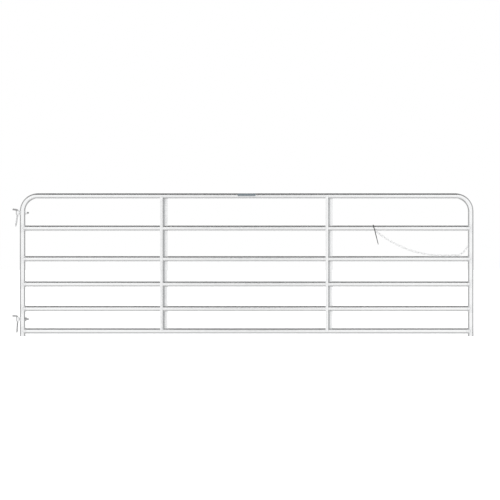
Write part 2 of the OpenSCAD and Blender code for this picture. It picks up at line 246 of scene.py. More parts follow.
class GateStageSettings(bpy.types.PropertyGroup):
    """Floor, light and camera."""

    floor: colour("Floor", "Colour of the floor", (0.86, 0.86, 0.86))
    floor_size: size("Floor size", "Half the side of the floor", 60.0)
    floor_glow: share("Floor glow", "Light of the floor to the camera", 0.6)
    key: share("Key light", "Strength of the key light", 1.35)
    key_size: turn("Key size", "Width of the key light as seen from the gate", 40)
    key_tilt: turn("Key tilt", "Tilt of the key light to the front", 38)
    key_turn: turn("Key turn", "Turn of the key light to the side", -18)
    view_x: size("View along", "Camera place along the gate", 2146.0 * MM)
    view_z: size("View height", "Camera height over the origin", 638.0 * MM)
    view_distance: size("View distance", "Camera distance from the gate", 18.0)
    view_width: size("View width", "Width of the picture at the gate", 4.62)
    view_end: size("View end", "Farthest that the camera sees", 200.0)


class GateSettings(bpy.types.PropertyGroup):
    """All sizes and colours of the gate's dress."""

    leaf: bpy.props.PointerProperty(type=GateLeafSettings)
    hinge: bpy.props.PointerProperty(type=GateHingeSettings)
    chain: bpy.props.PointerProperty(type=GateChainSettings)
    weld: bpy.props.PointerProperty(type=GateWeldSettings)
    finish: bpy.props.PointerProperty(type=GateFinishSettings)
    stage: bpy.props.PointerProperty(type=GateStageSettings)


# Nodes


def add_node(tree, kind, inputs=None, **settings):
    """Adds a node, then sets or links its inputs by name or number."""
    made = tree.nodes.new(kind)
    for name, value in settings.items():
        setattr(made, name, value)
    for key, value in (inputs or {}).items():
        if isinstance(value, bpy.types.NodeSocket):
            tree.links.new(value, made.inputs[key])
        else:
            made.inputs[key].default_value = value
    return made


def result(tree, kind, inputs=None, **settings):
    """A new node's first output."""
    return add_node(tree, kind, inputs, **settings).outputs[0]


def calc(tree, operation, *values, clamp=False):
    """A Math node's result."""
    inputs = dict(enumerate(values))
    return result(tree, "ShaderNodeMath", inputs, operation=operation, use_clamp=clamp)


def ramp(tree, value, low, high, start=0.0, end=1.0, kind="SMOOTHSTEP"):
    """A value that goes from start to end between low and high."""
    inputs = {"Value": value, "From Min": low, "From Max": high, "To Min": start, "To Max": end}
    return result(tree, "ShaderNodeMapRange", inputs, interpolation_type=kind)


def swing(tree, value, amount):
    """A value from 0 to 1 as a change of half an amount each way."""
    return calc(tree, "MULTIPLY_ADD", value, amount, -amount / 2)


def blend_colours(tree, factor, first, second):
    """A Mix node's colour."""
    made = add_node(tree, "ShaderNodeMix", {0: factor}, data_type="RGBA")
    for socket, value in zip(made.inputs[6:8], (first, second)):
        if isinstance(value, bpy.types.NodeSocket):
            tree.links.new(value, socket)
        else:
            socket.default_value = (*value, 1)
    return made.outputs[2]


def noise(tree, vector, scale, detail=2.0, rough=0.5):
    """A noise value from 0 to 1."""
    inputs = {"Vector": vector, "Scale": scale, "Detail": detail, "Roughness": rough}
    return add_node(tree, "ShaderNodeTexNoise", inputs).outputs["Fac"]


def stretched(tree, vector, scale, detail=2.0):
    """A noise value with a scale for each axis."""
    place = result(tree, "ShaderNodeMapping", {"Vector": vector, "Scale": scale})
    return noise(tree, place, 1, detail)


def flakes(tree, vector, flake):
    """A value from 0 to 1 for each crystal of the zinc."""
    cells = add_node(tree, "ShaderNodeTexVoronoi", {"Vector": vector, "Scale": 1 / flake})
    return result(tree, "ShaderNodeSeparateColor", {0: cells.outputs["Color"]})


def near(tree, value, places, full, none):
    """1 within full of any of the places, and 0 beyond none."""
    found = None
    for place in places:
        gap = calc(tree, "ABSOLUTE", calc(tree, "SUBTRACT", value, place))
        found = gap if found is None else calc(tree, "MINIMUM", found, gap)
    return ramp(tree, found, none, full)


# Finishes


def new_finish(name, **sockets):
    """A material with its shader, object coordinates and their parts."""
    material = bpy.data.materials.new(name)
    material.use_nodes = True
    tree = material.node_tree
    shader = tree.nodes["Principled BSDF"]
    for socket, value in sockets.items():
        shader.inputs[socket.replace("_", " ")].default_value = value
    place = add_node(tree, "ShaderNodeTexCoord").outputs["Object"]
    axes = add_node(tree, "ShaderNodeSeparateXYZ", {0: place}).outputs
    return material, tree, shader, place, axes


def set_surface(tree, shader, coat, dull, height, strength, distance):
    """Links a colour, a roughness and a bump to the shader."""
    inputs = {"Height": height, "Strength": strength, "Distance": distance}
    relief = result(tree, "ShaderNodeBump", inputs)
    for socket, value in (("Base Color", coat), ("Roughness", dull), ("Normal", relief)):
        tree.links.new(value, shader.inputs[socket])


# Draw lines per metre along each axis, and how far their turn in the bends spreads
GRAINS = {"rail": (2, 420, 420), "upright": (420, 420, 2), "sheet": (160, 160, 30)}
GRAIN_BLEND = 50 * MM

# A zinc crystal's size, and how far its tone shows
TUBE_FLAKE, SHEET_FLAKE = (7 * MM, 0.4), (13 * MM, 0.6)

# Zinc coat: clouds per metre, and what each pattern adds to the tone, the roughness and the relief
CLOUDS = 11
COAT_METAL, COAT_TONE, LINE_TONE, CLOUD_TONE = 0.92, 0.62, 0.5, 0.7
COAT_ROUGH, FLAKE_ROUGH, CLOUD_ROUGH, SEAM_ROUGH = 0.09, 0.10, 0.04, 0.14
LINE_RELIEF, FLAKE_RELIEF, SEAM_RELIEF = 0.5, 0.12, 0.8
COAT_RELIEF, COAT_DEPTH = 0.15, 0.06 * MM

# Zinc paint by the welds, with an uneven edge: full and last reach, and how far it shows
PAINT_EDGES, PAINT_WANDER = 60, 34 * MM
PAINT_FULL, PAINT_END, PAINT_SHOW, PAINT_ROUGH = 33 * MM, 47 * MM, 0.6, 0.25

# Painted shade on a brace's web between its folds, and the seam along a tube
WEB_FULL, WEB_END, WEB_WANDER = 24 * MM, 29 * MM, 0.1
SEAM_EDGE, SEAM_SHOW = 0.1 * MM, 0.5


def draw_lines(tree, place, axes, grain):
    """Lines along the metal. On the frame tube they turn from upright to level in the bends."""
    if grain in GRAINS:
        return stretched(tree, place, GRAINS[grain], detail=3)
    x, _, z = axes
    ends = calc(tree, "SUBTRACT", x, END_TUBES[0]), calc(tree, "SUBTRACT", END_TUBES[1], x)
    below = calc(tree, "SUBTRACT", TOP_Z, z)
    inward = calc(tree, "SUBTRACT", calc(tree, "MINIMUM", *ends), below)
    level = ramp(tree, inward, -GRAIN_BLEND, GRAIN_BLEND)
    upright, along = (draw_lines(tree, place, axes, kind) for kind in ("upright", "rail"))
    return calc(tree, "MULTIPLY_ADD", calc(tree, "SUBTRACT", along, upright), level, upright)


def galvanised(name, settings, flake, grain, rail_welds=(), end_welds=(), web=False):
    """A zinc coat with crystals, draw lines, dull zinc by the welds, and a seam or a web greyed
    with painted shade.
    """
    colours, (flake_size, flake_tone) = settings.finish, flake
    material, tree, shader, place, axes = new_finish(name, Metallic=COAT_METAL)
    x, y, z = axes
    crystal = flakes(tree, place, flake_size)
    lines = draw_lines(tree, place, axes, grain)
    clouds = noise(tree, place, CLOUDS, detail=4)
    tone = calc(tree, "MULTIPLY_ADD", crystal, flake_tone, COAT_TONE - flake_tone / 2)
    tone = calc(tree, "ADD", tone, swing(tree, lines, LINE_TONE))
    tone = calc(tree, "ADD", tone, swing(tree, clouds, CLOUD_TONE), clamp=True)
    coat = blend_colours(tree, tone, colours.zinc_dull, colours.zinc_bright)
    dull = calc(tree, "MULTIPLY_ADD", crystal, FLAKE_ROUGH, COAT_ROUGH)
    dull = calc(tree, "MULTIPLY_ADD", clouds, CLOUD_ROUGH, dull)
    edge = swing(tree, noise(tree, place, PAINT_EDGES, detail=3), PAINT_WANDER)
    paint = None
    for axis, places in ((z, rail_welds), (x, end_welds)):
        if places:
            found = near(tree, calc(tree, "ADD", axis, edge), places, PAINT_FULL, PAINT_END)
            paint = found if paint is None else calc(tree, "MULTIPLY", paint, found)
    if paint is not None:
        paint = calc(tree, "MULTIPLY", paint, PAINT_SHOW)
        coat = blend_colours(tree, paint, coat, colours.touch_up)
        dull = calc(tree, "MULTIPLY_ADD", paint, PAINT_ROUGH, dull)
    height = calc(tree, "MULTIPLY", crystal, FLAKE_RELIEF)
    height = calc(tree, "MULTIPLY_ADD", lines, LINE_RELIEF, height)
    if web:
        # Painted shade: between its folds the web is painted grey where shade falls
        wander = calc(tree, "MULTIPLY", edge, WEB_WANDER)
        seam = near(tree, calc(tree, "ADD", y, wander), (0.0,), WEB_FULL, WEB_END)
        coat = blend_colours(tree, seam, coat, colours.zinc_grey)
    else:
        # The seam runs along the back of each tube
        half = settings.leaf.seam_w / 2
        seam_y = math.sqrt(TUBE_R**2 - half**2)
        seam = ramp(tree, y, seam_y - SEAM_EDGE, seam_y)
        shown = calc(tree, "MULTIPLY", seam, SEAM_SHOW)
        coat = blend_colours(tree, shown, coat, colours.touch_up)
        height = calc(tree, "MULTIPLY_ADD", seam, SEAM_RELIEF, height)
    dull = calc(tree, "MULTIPLY_ADD", seam, SEAM_ROUGH, dull)
    set_surface(tree, shader, coat, dull, height, COAT_RELIEF, COAT_DEPTH)
    return material


# Hardware: two colours, patches per metre, metal, roughness and pits. Where a part turns to the
# worn colour, the axis and the node past whose box it does; on the upper bolt that dark end is
# painted shade
HARDWARE = {
    "steel": ("steel", "steel_dull", 120, 0.85, 0.46, 0.4, None),
    "link": ("zinc_bright", "zinc_dull", 150, 0.1, 0.5, 0.12, None),
    "hinge": ("zinc_bright", "plating", 150, 0.9, 0.30, 0.15, None),
    # Painted shade: the upper bolt's end past its nut turns to the darker worn colour
    "upper_bolt": ("zinc_bright", "plating", 150, 0.9, 0.30, 0.15, (0, "upper_hinge_nut")),
    "upper_hook": ("plating", "plating_dull", 90, 0.5, 0.36, 0.2, (2, "upper_hinge_barrel")),
    "lower_hook": ("plating_dull", "worn", 90, 0.9, 0.30, 0.2, None),
}

# Scratches and grit per metre, and what each pattern adds to the tone, the roughness and the relief
SCRATCHES, GRIT = (900, 900, 120), 1400
SCRATCH_TONE, TONE_LOW, TONE_HIGH = 0.3, 0.42, 0.88
PATCH_ROUGH, GRIT_ROUGH, SCRATCH_RELIEF, PIT_DEPTH = 0.3, 0.1, 0.4, 0.15 * MM
WORN_WANDER, WORN_FADE = 6 * MM, 4 * MM


def hardware_finish(name, colours, key):
    """Plated or plain steel with patches, fine scratches and small pits, or with an end in the worn
    colour, which on the upper bolt is painted shade.
    """
    first, second, patch, metal, rough, pits, worn = HARDWARE[key]
    material, tree, shader, place, axes = new_finish(name, Metallic=metal)
    patches = noise(tree, place, patch, detail=5, rough=0.6)
    scratch = stretched(tree, place, SCRATCHES)
    grit = noise(tree, place, GRIT)
    tone = calc(tree, "MULTIPLY_ADD", scratch, SCRATCH_TONE, patches)
    tone = ramp(tree, tone, TONE_LOW, TONE_HIGH)
    coat = blend_colours(tree, tone, getattr(colours, second), getattr(colours, first))
    # A darker end past a node's box; on the upper bolt this is painted shade
    if worn:
        axis, node = worn
        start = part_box(node)[1][axis]
        edge = calc(tree, "MULTIPLY_ADD", patches, WORN_WANDER, axes[axis])
        bare = ramp(tree, edge, start, start + WORN_FADE)
        coat = blend_colours(tree, bare, coat, colours.worn)
    dull = calc(tree, "MULTIPLY_ADD", patches, PATCH_ROUGH, rough - PATCH_ROUGH / 2)
    dull = calc(tree, "MULTIPLY_ADD", grit, GRIT_ROUGH, dull)
    height = calc(tree, "MULTIPLY_ADD", scratch, SCRATCH_RELIEF, grit)
    set_surface(tree, shader, coat, dull, height, pits, PIT_DEPTH)
    return material


# Limits between which a tone or a roughness follows a noise
NOISE_MIDDLE, NOISE_WIDE = (0.3, 0.7), (0.2, 0.8)

# Weld metal: patches and grit per metre, and its roughness from dull to bright
WELD_METAL, WELD_PATCHES, WELD_GRIT, WELD_RELIEF = 0.75, 160, 1800, 0.3
WELD_DULL, WELD_BRIGHT = 0.62, 0.36


def weld_finish(name, colours):
    """Weld metal under sprayed zinc paint."""
    material, tree, shader, place, _ = new_finish(name, Metallic=WELD_METAL)
    patches = noise(tree, place, WELD_PATCHES, detail=4, rough=0.6)
    tone = ramp(tree, patches, *NOISE_MIDDLE)
    coat = blend_colours(tree, tone, colours.touch_up, colours.zinc_dull)
    dull = ramp(tree, patches, *NOISE_WIDE, WELD_DULL, WELD_BRIGHT)
    set_surface(tree, shader, coat, dull, noise(tree, place, WELD_GRIT), WELD_RELIEF, PIT_DEPTH)
    return material


# Label film: its gloss coat, grain and clouds per metre, the grain's tone, and the least and most
# roughness
FILM_COAT, FILM_COAT_ROUGH = 0.35, 0.25
FILM_GRAIN, FILM_CLOUDS, FILM_TONE, FILM_ROUGH = (60, 900, 900), 40, 0.25, (0.34, 0.46)
FILM_RELIEF, FILM_DEPTH, FILM_FADE = 0.12, 0.05 * MM, 0.6 * MM


def film_finish(name, colours, border):
    """Satin label film with a paler border and a faint grain."""
    spot, half = middle("blank_label"), reach("blank_label") / 2
    sockets = {"Coat_Weight": FILM_COAT, "Coat_Roughness": FILM_COAT_ROUGH}
    material, tree, shader, place, (x, _, z) = new_finish(name, **sockets)
    along, across = (
        near(tree, axis, (at,), far - border, far - border + FILM_FADE)
        for axis, at, far in ((x, spot.x, half.x), (z, spot.z, half.z))
    )
    grain = stretched(tree, place, FILM_GRAIN, detail=3)
    tone = ramp(tree, grain, *NOISE_MIDDLE, 0.0, FILM_TONE)
    body = blend_colours(tree, tone, colours.film, colours.film_edge)
    field = calc(tree, "MULTIPLY", along, across)
    coat = blend_colours(tree, field, colours.film_edge, body)
    clouds = noise(tree, place, FILM_CLOUDS, detail=3)
    dull = ramp(tree, clouds, *NOISE_MIDDLE, *FILM_ROUGH)
    set_surface(tree, shader, coat, dull, grain, FILM_RELIEF, FILM_DEPTH)
    return material


def finish(key, settings):
    """One of the gate's finishes, made when it is first asked for."""
    name = "gate_" + key
    if name in bpy.data.materials:
        return bpy.data.materials[name]
    if key in HARDWARE:
        return hardware_finish(name, settings.finish, key)
    if key == "rail":
        return galvanised(name, settings, TUBE_FLAKE, "rail", end_welds=END_TUBES)
    if key == "frame":
        return galvanised(name, settings, TUBE_FLAKE, "frame", RAIL_Z[1:], END_TUBES)
    if key == "sheet":
        return galvanised(name, settings, SHEET_FLAKE, "sheet", web=True)
    if key == "weld":
        return weld_finish(name, settings.finish)
    if key == "film":
        return film_finish(name, settings.finish, settings.leaf.film_border)
    raise ValueError(f"there is no finish named {key}")


# Meshes

# Edges sharper than this stay sharp, and points nearer than this are one
SHARP = math.radians(38)
MERGE = 0.01 * MM

# Sides of rings, rods and wires, and points on a rounded edge
RING_SIDES, NUT_SIDES, EYE_SIDES, EYE_WIRE_SIDES = 48, 72, 40, 16
ROD_SIDES, WIRE_SIDES, LINK_SIDES, BEAD_SIDES = 32, 24, 12, 10
EDGE_POINTS = 4


def angles(count):
    """Equal steps of one full turn."""
    return [TURN * k / count for k in range(count)]


def tidy_normals(mesh, weld=0.0):
    """Merges doubles where asked, and points every face outwards."""
    work = bmesh.new()
    work.from_mesh(mesh)
    if weld:
        bmesh.ops.remove_doubles(work, verts=work.verts, dist=weld)
    bmesh.ops.recalc_face_normals(work, faces=work.faces)
    work.to_mesh(mesh)
    work.free()


def smooth(mesh):
    """Smooth shading with sharp edges kept."""
    mesh.shade_smooth()
    mesh.set_sharp_from_angle(angle=SHARP)


def add_piece(name, points, faces, material, thickness=0.0, weld=0.0):
    """A mesh piece at the origin. A thickness makes a sheet of it, centred on its points."""
    mesh = bpy.data.meshes.new(name)
    mesh.from_pydata([tuple(p) for p in points], [], faces)
    tidy_normals(mesh, weld)
    piece = bpy.data.objects.new(name, mesh)
    bpy.context.scene.collection.objects.link(piece)
    if thickness:
        sheet = piece.modifiers.new("sheet", "SOLIDIFY")
        sheet.thickness, sheet.offset, sheet.use_even_offset = thickness, 0, True
        make_plain(piece)
    smooth(piece.data)
    piece.data.materials.clear()
    piece.data.materials.append(material)
    return piece


def make_plain(piece):
    """Turns what a piece's modifiers give into its own plain mesh."""
    first = piece.data
    seen = piece.evaluated_get(bpy.context.evaluated_depsgraph_get())
    made = bpy.data.meshes.new_from_object(seen)
    piece.modifiers.clear()
    piece.data = made
    bpy.data.meshes.remove(first)
    made.name = piece.name
    if not made.polygons:
        raise RuntimeError(f"{piece.name} came out empty")


def grid_faces(first, columns, rows):
    """Faces between points that stand in columns, from a first point on."""
    corners = [first + c * rows + r for c in range(columns - 1) for r in range(rows - 1)]
    return [(a, a + rows, a + rows + 1, a + 1) for a in corners]


def ring_piece(name, profile_at, sides, place, material):
    """A closed ring: a profile of (radius, height) at each angle, joined round place's axis."""
    count = len(profile_at(0.0))
    points, faces = [], []
    for k, angle in enumerate(angles(sides)):
        out = Vector((math.cos(angle), math.sin(angle), 0))
        points += [place @ (out * r + UP * h) for r, h in profile_at(angle)]
        here, after = k * count, (k + 1) % sides * count
        for i in range(count):
            j = (i + 1) % count
            faces.append((here + i, here + j, after + j, after + i))
    return add_piece(name, points, faces, material)


def rounded_ring(inner, outer, low, high, edge):
    """Profile of a flat ring with rounded edges."""
    middles = (
        (inner + edge, low + edge), (outer - edge, low + edge),
        (outer - edge, high - edge), (inner + edge, high - edge),
    )
    points = []
    for number, (r, h) in enumerate(middles):
        for step in range(EDGE_POINTS):
            angle = math.pi + QUARTER * (number + step / (EDGE_POINTS - 1))
            points.append((r + edge * math.cos(angle), h + edge * math.sin(angle)))
    return points


def along_x(x, z):
    """Turns an upright axis to +X and moves it to a place on the leaf."""
    return Matrix.Translation((x, 0, z)) @ Matrix.Rotation(QUARTER, 4, "Y")


def dress(piece, body, slot, *nodes):
    """Puts a piece on its body and hides the nodes that it stands for. The finish slot is not used.
    """
    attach(piece, body)
    if nodes:
        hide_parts(*nodes)
    return piece


# Geometry nodes

# A rod's change to its thread's radius, and the power that widens the thread's valleys
RUNOUT = 1.5 * MM
VALLEY_POWER = 0.7
# A rod without a thread has it past its end, and a rod without a point has next to none
NO_THREAD, NO_POINT = 1.0, 0.01 * MM
# A bead's step as a share of a ripple, its noise per metre, its ends' fade in bead radii, and what
# is added to the fade so that the ends keep some width
BEAD_STEP, BEAD_NOISE, BEAD_FADE, BEAD_TIP = 0.2, 130.0, 2.0, 0.03
# A link's bows stay just under half its width, so that their arcs don't meet
BOW_SHARE, BOW_POINTS, LINK_POINTS = 0.4999, 9, 48


SOCKETS = {float: "NodeSocketFloat", int: "NodeSocketInt"}


def new_tree(name, values):
    """A Geometry Nodes tree with an input for each value, their sockets, and its wires' curve."""
    tree = bpy.data.node_groups.new(name, "GeometryNodeTree")
    tree.interface.new_socket("Wire", in_out="INPUT", socket_type="NodeSocketGeometry")
    for key, value in values.items():
        kind = SOCKETS.get(type(value), "NodeSocketMaterial")
        tree.interface.new_socket(key, in_out="INPUT", socket_type=kind)
    tree.interface.new_socket("Mesh", in_out="OUTPUT", socket_type="NodeSocketGeometry")
    given = tree.nodes.new("NodeGroupInput").outputs
    return tree, given, result(tree, "GeometryNodeMeshToCurve", {0: given["Wire"]})


def end_tree(tree, mesh, material):
    """Realizes the mesh, smooths it and gives it its material."""
    whole = result(tree, "GeometryNodeRealizeInstances", {0: mesh})
    soft = result(tree, "GeometryNodeSetShadeSmooth", {0: whole})
    dressed = result(tree, "GeometryNodeSetMaterial", {0: soft, "Material": material})
    add_node(tree, "NodeGroupOutput", {0: dressed})
    return tree


def capture(tree, geometry, value):
    """Keeps a value on a curve's points, and gives the curve and the kept value."""
    keeper = add_node(tree, "GeometryNodeCaptureAttribute", {0: geometry})
    keeper.capture_items.new("FLOAT", "kept")
    tree.links.new(value, keeper.inputs[1])
    return keeper.outputs[0], keeper.outputs[1]


def run_and_left(tree):
    """Length along a spline, and the length that is left."""
    along = add_node(tree, "GeometryNodeSplineParameter").outputs["Length"]
    whole = result(tree, "GeometryNodeSplineLength")
    return along, calc(tree, "SUBTRACT", whole, along)


def sweep(tree, curve, radius, sides):
    """A round wire along a curve, with its length along and its turn round the wire."""
    spline = add_node(tree, "GeometryNodeSplineParameter").outputs
    curve, along = capture(tree, curve, spline["Length"])
    circle = {"Resolution": sides, "Radius": 1.0}
    circle = result(tree, "GeometryNodeCurvePrimitiveCircle", circle)
    circle, turned = capture(tree, circle, spline["Factor"])
    inputs = {"Curve": curve, "Profile Curve": circle, "Scale": radius, "Fill Caps": True}
    return result(tree, "GeometryNodeCurveToMesh", inputs), along, turned


def push(tree, mesh, distance):
    """Moves a mesh along its normals."""
    shift = {0: result(tree, "GeometryNodeInputNormal"), "Scale": distance}
    shift = result(tree, "ShaderNodeVectorMath", shift, operation="SCALE")
    return result(tree, "GeometryNodeSetPosition", {0: mesh, "Offset": shift})


def rod_tree(values):
    """A bent rod along a wire: bevelled start, plain shank, rolled thread and point."""
    tree, given, curve = new_tree("threaded rod", values)
    along, left = run_and_left(tree)
    start, pitch = given["Thread Start"], given["Pitch"]
    before = calc(tree, "SUBTRACT", start, RUNOUT)
    radius = ramp(tree, along, before, start, given["Rod Radius"], given["Thread Radius"])
    bevel = calc(tree, "SUBTRACT", along, given["Bevel"])
    radius = calc(tree, "ADD", radius, calc(tree, "MINIMUM", bevel, 0.0))
    taper = ramp(tree, left, 0.0, given["Point"], given["Tip"], 1.0, "LINEAR")
    radius = calc(tree, "MULTIPLY", radius, taper)
    mesh, run, turned = sweep(tree, curve, radius, given["Sides"])
    phase = calc(tree, "SUBTRACT", calc(tree, "DIVIDE", run, pitch), turned)
    crest = calc(tree, "COSINE", calc(tree, "MULTIPLY", phase, TURN))
    valley = calc(tree, "POWER", calc(tree, "MULTIPLY_ADD", crest, -0.5, 0.5), VALLEY_POWER)
    begin = ramp(tree, run, start, calc(tree, "ADD", start, pitch))
    cut = calc(tree, "MULTIPLY", calc(tree, "MULTIPLY", valley, begin), given["Depth"])
    return end_tree(tree, push(tree, mesh, calc(tree, "MULTIPLY", cut, -1.0)), given["Material"])


def bead_tree(values):
    """Rippled weld beads along wires."""
    tree, given, curve = new_tree("weld beads", values)
    bead, ripple = given["Bead"], given["Ripple"]
    step = calc(tree, "MULTIPLY", ripple, BEAD_STEP)
    curve = result(tree, "GeometryNodeResampleCurve", {0: curve, "Length": step}, mode="LENGTH")
    along, left = run_and_left(tree)
    phase = calc(tree, "MULTIPLY", calc(tree, "DIVIDE", along, ripple), math.pi)
    wave = calc(tree, "ABSOLUTE", calc(tree, "SINE", phase))
    wave = calc(tree, "MULTIPLY", wave, given["Ripple Depth"])
    spot = result(tree, "GeometryNodeInputPosition")
    inputs = {"Vector": spot, "W": given["Seed"], "Scale": BEAD_NOISE}
    rough = add_node(tree, "ShaderNodeTexNoise", inputs, noise_dimensions="4D").outputs["Fac"]
    uneven = calc(tree, "MULTIPLY", calc(tree, "SUBTRACT", rough, 0.5), given["Unevenness"])
    width = calc(tree, "ADD", calc(tree, "SUBTRACT", 1.0, wave), uneven)
    to_end = calc(tree, "MINIMUM", along, left)
    to_end = calc(tree, "DIVIDE", to_end, calc(tree, "MULTIPLY", bead, BEAD_FADE))
    fade = calc(tree, "SQRT", calc(tree, "ADD", to_end, BEAD_TIP), clamp=True)
    fade = calc(tree, "MAXIMUM", result(tree, "GeometryNodeInputSplineCyclic"), fade)
    radius = calc(tree, "MULTIPLY", calc(tree, "MULTIPLY", bead, width), fade)
    mesh, _, _ = sweep(tree, curve, radius, given["Sides"])
    return end_tree(tree, mesh, given["Material"])


def chain_tree(values):
    """Welded links along a wire, each turned from the one before."""
    tree, given, curve = new_tree("chain links", values)
    wire = given["Wire Radius"]
    thick = calc(tree, "MULTIPLY", wire, 2.0)
    width = calc(tree, "ADD", given["Inside Width"], thick)
    length = calc(tree, "ADD", given["Inside Length"], thick)
    oval = {"Width": length, "Height": width}
    oval = result(tree, "GeometryNodeCurvePrimitiveQuadrilateral", oval)
    bow = calc(tree, "MULTIPLY", width, BOW_SHARE)
    oval = {0: oval, "Count": BOW_POINTS, "Radius": bow}
    oval = result(tree, "GeometryNodeFilletCurve", oval, mode="POLY")
    oval = {0: oval, "Count": LINK_POINTS}
    oval = result(tree, "GeometryNodeResampleCurve", oval, mode="COUNT")
    spot = result(tree, "GeometryNodeInputPosition")
    x, y, _ = add_node(tree, "ShaderNodeSeparateXYZ", {0: spot}).outputs
    weld = ramp(tree, calc(tree, "ABSOLUTE", x), thick, 0.0)
    weld = calc(tree, "MULTIPLY", weld, calc(tree, "GREATER_THAN", y, 0.0))
    swell = calc(tree, "MULTIPLY_ADD", weld, given["Weld Swell"], 1.0)
    link, _, _ = sweep(tree, oval, calc(tree, "MULTIPLY", wire, swell), given["Sides"])
    index = result(tree, "GeometryNodeInputIndex")
    run = calc(tree, "MULTIPLY", calc(tree, "ADD", index, 0.5), given["Step"])
    ways = {"mode": "LENGTH", "use_all_curves": True}
    spots = add_node(tree, "GeometryNodeSampleCurve", {0: curve, "Length": run}, **ways).outputs
    points = {"Count": given["Links"], "Position": spots["Position"]}
    points = result(tree, "GeometryNodePoints", points)
    level = {0: tuple(UP), 1: spots["Tangent"]}
    level = result(tree, "ShaderNodeVectorMath", level, operation="CROSS_PRODUCT")
    heading = {0: spots["Tangent"], 1: level}
    ways = {"primary_axis": "X", "secondary_axis": "Y"}
    heading = result(tree, "FunctionNodeAxesToRotation", heading, **ways)
    twist = calc(tree, "MULTIPLY_ADD", index, given["Link Twist"], given["First Twist"])
    heading = {0: heading, 1: result(tree, "ShaderNodeCombineXYZ", {"X": twist})}
    heading = result(tree, "FunctionNodeRotateRotation", heading, rotation_space="LOCAL")
    links = {"Points": points, "Instance": link, "Rotation": heading}
    return end_tree(tree, result(tree, "GeometryNodeInstanceOnPoints", links), given["Material"])


def grow(name, wires, build, values, closed=False):
    """Runs a tree on wires of points, and gives its result as a plain mesh piece."""
    points, edges = [], []
    for wire in wires:
        first = len(points)
        points += [tuple(p) for p in wire]
        edges += [(i, i + 1) for i in range(first, len(points) - 1)]
        if closed:
            edges.append((len(points) - 1, first))
    mesh = bpy.data.meshes.new(name)
    mesh.from_pydata(points, edges, [])
    piece = bpy.data.objects.new(name, mesh)
    bpy.context.scene.collection.objects.link(piece)
    tree = build(values)
    modifier = piece.modifiers.new(tree.name, "NODES")
    modifier.node_group = tree
    for item in tree.interface.items_tree:
        if item.in_out == "INPUT" and item.name in values:
            modifier[item.identifier] = values[item.name]
    make_plain(piece)
    tidy_normals(piece.data)
    smooth(piece.data)
    if values["Material"].name not in piece.data.materials:
        piece.data.materials.append(values["Material"])
    return piece


def grow_rod(name, wire, material, sides, radius, bevel=0.0, thread=None, point=NO_POINT, tip=1.0):
    """A rod along a wire. Its thread is a start, a radius, a pitch and a depth."""
    start, thread_r, pitch, depth = thread or (NO_THREAD, radius, NO_THREAD, 0.0)
    values = {
        "Rod Radius": radius, "Bevel": bevel, "Thread Radius": thread_r, "Thread Start": start,
        "Pitch": pitch, "Depth": depth, "Point": point, "Tip": tip,
        "Sides": sides, "Material": material,
    }
    return grow(name, [wire], rod_tree, values)


# Paths

# Steps along straight rods, round bends and along one turn of a thread
PIN_STEP, ROD_STEP = 8 * MM, 12 * MM
BEND_STEPS, BOW_STEPS, STAPLE_STEPS = 12, 32, 20
LAG_TURN_STEPS, BOLT_TURN_STEPS = 12, 10
# Steps of weld beads round a rail, a staple's leg, a barrel and a tack, and half a tack's arc
RAIL_WELD_STEPS, FOOT_WELD_STEPS, BARREL_WELD_STEPS, TACK_STEPS = 72, 28, 28, 12
TACK_HALF = 0.55
# Rounds the two points of a rail's end, where the sides of its bead would meet
SADDLE_ROUND = 0.012
HALVINGS = 60


def arc(centre, first, second, start, end, steps):
    """Points on an arc, from two square directions with their lengths."""
    turns = [start + (end - start) * i / steps for i in range(steps + 1)]
    return [centre + first * math.cos(a) + second * math.sin(a) for a in turns]


def straight(start, end, step):
    """Points along a line, without its first."""
    count = max(1, round((end - start).length / step))
    return [start.lerp(end, i / count) for i in range(1, count + 1)]


def bisect(low, high, holds):
    """The value between low and high up to which a test holds."""
    for _ in range(HALVINGS):
        value = (low + high) / 2
        low, high = (value, high) if holds(value) else (low, value)
    return low


def catenary(run, rise):
    """Scale of the catenary that climbs a rise in a level run from its lowest point."""
    return bisect(0.0, run**2 / rise, lambda scale: scale * math.acosh(1 + rise / scale) < run)


class ChainLine:
    """The chain's way from the hook's eye to the staple.

    It hangs as a catenary down to the rail, lies on the rail, and climbs as a steeper catenary.
    """

    def __init__(self, chain):
        lean = chain.hook_lean
        down = Vector((math.sin(lean), 0, -math.cos(lean)))
        self.eye_weld = Vector((chain.hook_x, -chain.bow_r, RAIL_Z[1])) + down * chain.eye_drop
        slope = chain.eye_slope
        self.eye_dir = Vector((math.cos(slope), 0, -math.sin(slope)))
        ring = chain.eye_r + chain.eye_wire_r
        offset = chain.rod_r / math.cos(slope - lean) + ring + chain.eye_wire_r - chain.eye_weld
        self.eye_middle = self.eye_weld + self.eye_dir * offset
        self.start = self.eye_middle + self.eye_dir * (chain.eye_r - chain.slack / 2)
        flat = CHAIN_PIVOT - self.start
        self.yaw = math.atan2(flat.y, flat.x)
        self.low_z = CHAIN_PIVOT.z - chain.end_rise
        self.lie = chain.lie_len
        self.start_run = math.hypot(flat.x, flat.y) - self.lie - chain.end_run
        rises = self.start.z - self.low_z, chain.end_rise
        self.scales = [catenary(*way) for way in zip((self.start_run, chain.end_run), rises)]
        self.before, after = (
            math.sqrt((scale + rise) ** 2 - scale**2) for scale, rise in zip(self.scales, rises)
        )
        self.length = self.before + self.lie + after

    def at(self, s, twist=0.0):
        """Turns a piece that lies along +X to the chain at a length along it."""
        lying = min(max(s - self.before, 0.0), self.lie)
        hanging = s - self.before - lying
        scale = self.scales[s > self.before]
        level = self.start_run + lying + scale * math.asinh(hanging / scale)
        height = self.low_z + math.hypot(scale, hanging) - scale
        slope = math.atan2(-hanging, scale)
        return (
            Matrix.Translation((self.start.x, self.start.y, 0))
            @ Matrix.Rotation(self.yaw, 4, "Z")
            @ Matrix.Translation((level, 0, height))
            @ Matrix.Rotation(slope, 4, "Y")
            @ Matrix.Rotation(twist, 4, "X")
        )


